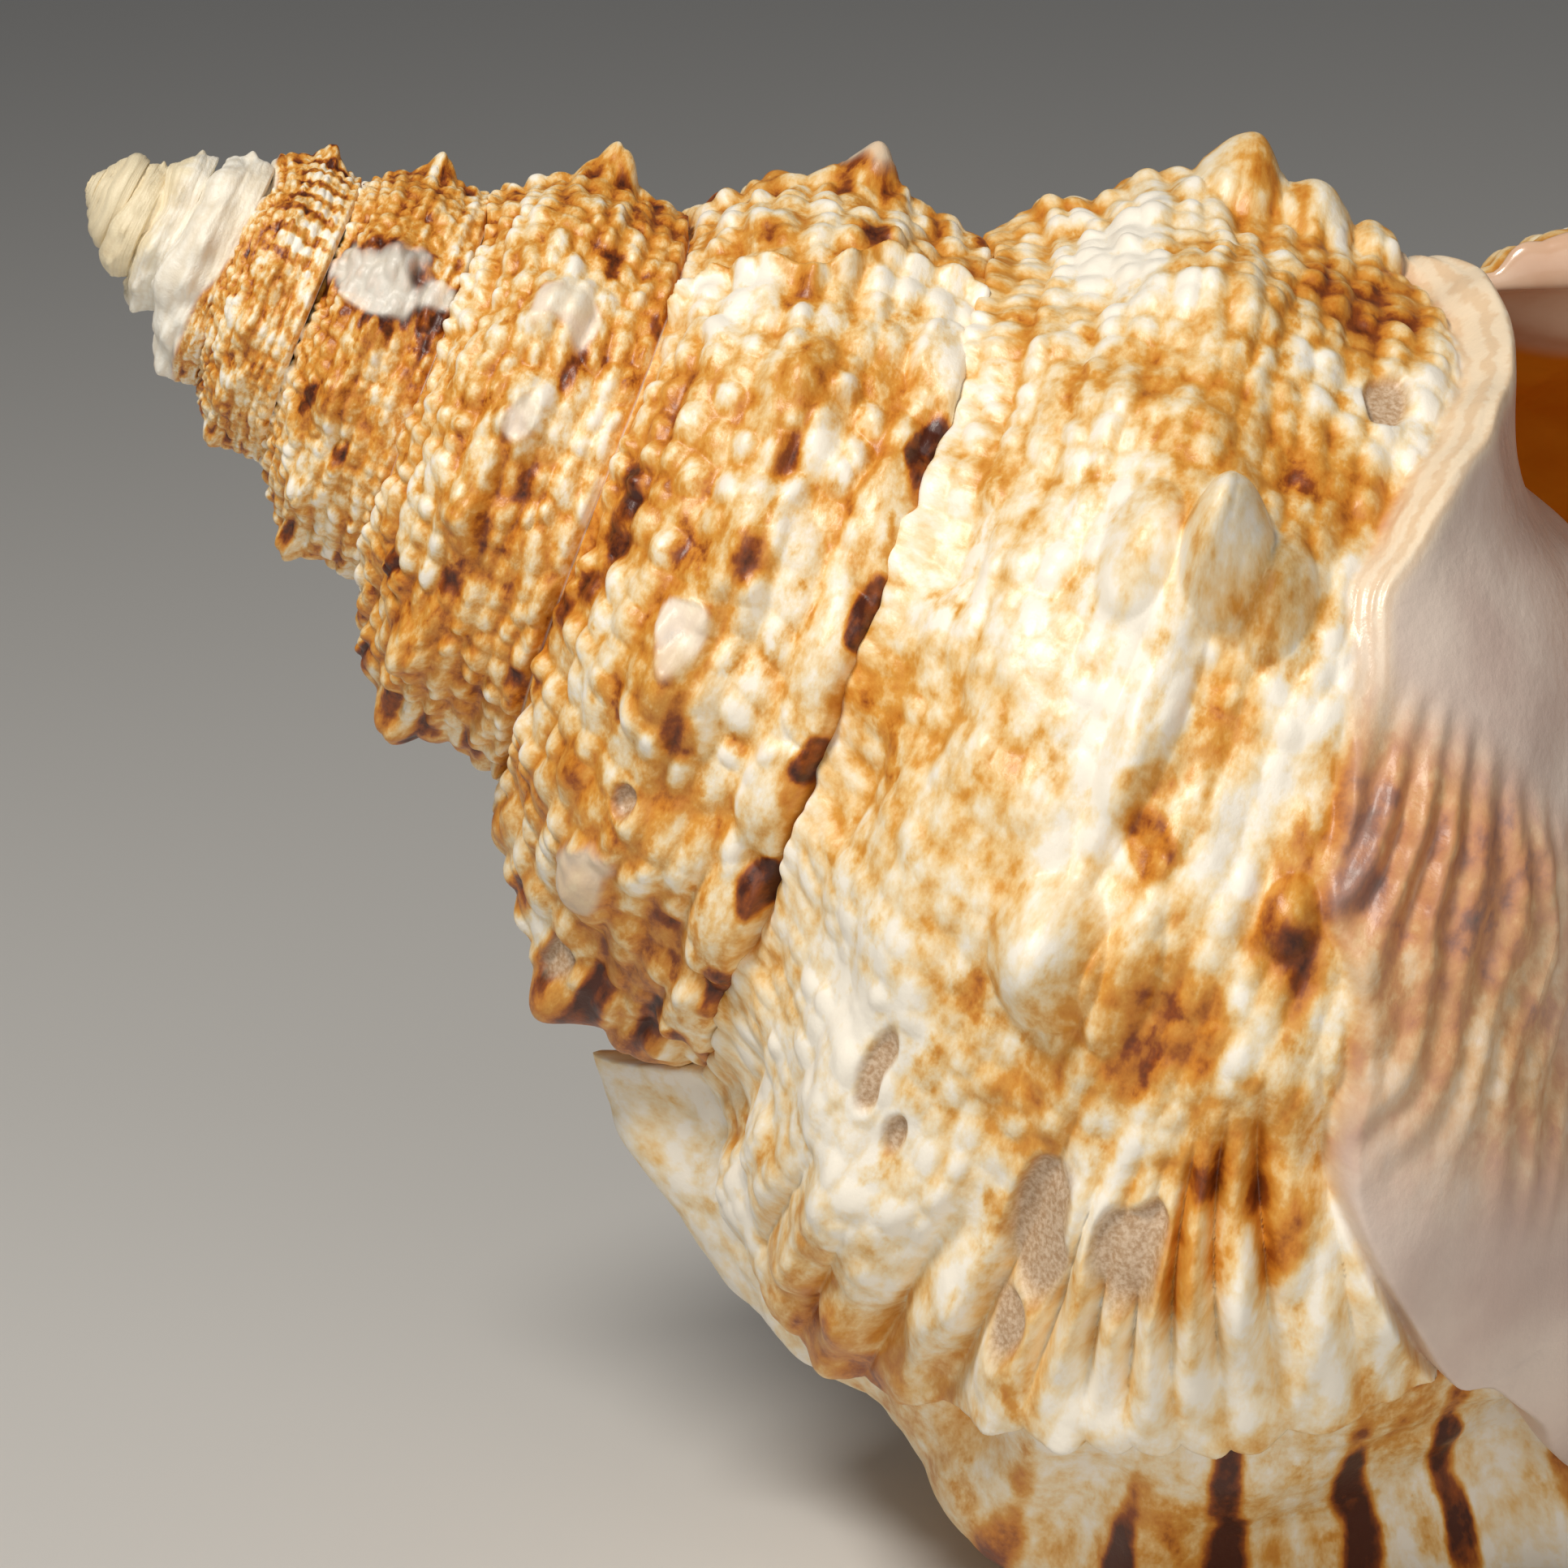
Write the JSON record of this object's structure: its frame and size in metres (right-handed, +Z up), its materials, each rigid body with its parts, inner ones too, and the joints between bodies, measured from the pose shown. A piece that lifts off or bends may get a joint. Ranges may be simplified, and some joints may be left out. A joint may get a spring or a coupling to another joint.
{
  "type": "frog shell",
  "caption": "Large knobbed sea snail shell with a tall spire, old lip ridges and an open glazed aperture, lying at rest on its back.",
  "frame": {"origin": "centre of the bounding box, on the surface that the shell rests on", "axes": "+X from the apex towards the siphonal canal, +Z up, the aperture and the glazed side face -Y"},
  "size_m": [0.17, 0.1028, 0.106],
  "materials": {
    "shell": "glossy cream shell mottled with golden and dark brown, pinkish white glaze round the aperture"
  },
  "bodies": {
    "root": {"shell": "shell"}
  },
  "joints": []
}
